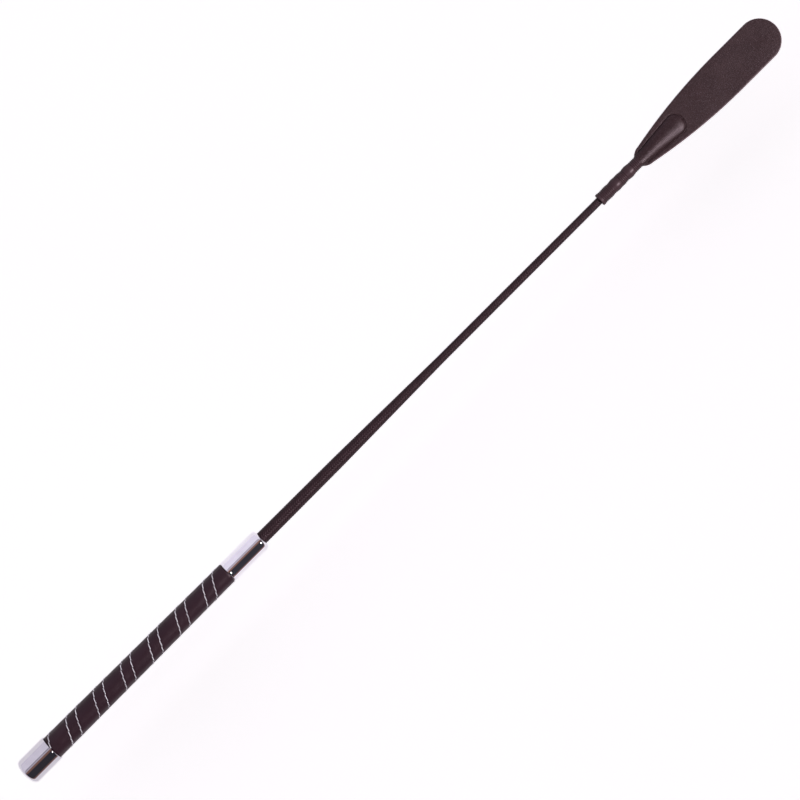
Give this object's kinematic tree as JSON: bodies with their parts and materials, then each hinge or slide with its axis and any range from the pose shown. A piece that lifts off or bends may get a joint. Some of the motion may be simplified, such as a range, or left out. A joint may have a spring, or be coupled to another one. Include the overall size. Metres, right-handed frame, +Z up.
{
  "type": "riding crop",
  "caption": "Riding crop with spirally wrapped leather grip, chromed butt cap and collar, braided tapering shaft, ridged tip ferrule and flexing leather flapper.",
  "frame": {"origin": "under the middle of the crop's length, on the plane that the round butt cap rests on, below the crop's axis", "axes": "+X along the crop from the butt cap to the flapper's free end, +Z up through the flapper's broad front face, +Y across the flapper"},
  "size_m": [0.65, 0.0274, 0.0175],
  "materials": {
    "chrome": "polished chrome plate",
    "core_moulding": "plain moulding, hidden",
    "grip_leather": "smooth dark brown leather",
    "thread": "white twisted thread",
    "glass_fibre": "ground glass-fibre rod, hidden",
    "braid": "tight brown braid with a dull sheen",
    "ferrule_moulding": "glossy brown moulding",
    "flapper_leather": "fine-grained dark brown leather"
  },
  "bodies": {
    "crop": {"butt_cap": "chrome", "grip_core": "core_moulding", "grip_leather": "grip_leather", "grip_thread_aft": "thread", "grip_thread_fore": "thread", "front_collar": "chrome", "core_rod": "glass_fibre", "braid_sleeve": "braid", "tip_ferrule": "ferrule_moulding", "flapper_front_root": "flapper_leather", "flapper_back_root": "flapper_leather"},
    "flapper": {"flapper_front_blade": "flapper_leather", "flapper_back_blade": "flapper_leather"}
  },
  "joints": [
    {"name": "flapper_flex", "type": "hinge", "parent": "crop", "child": "flapper", "pos_m": [0.251, 0, 0.00875], "axis": [0, 1, 0], "range_deg": [-60, 60], "stiffness_Nm_per_rad": 0.06}
  ]
}
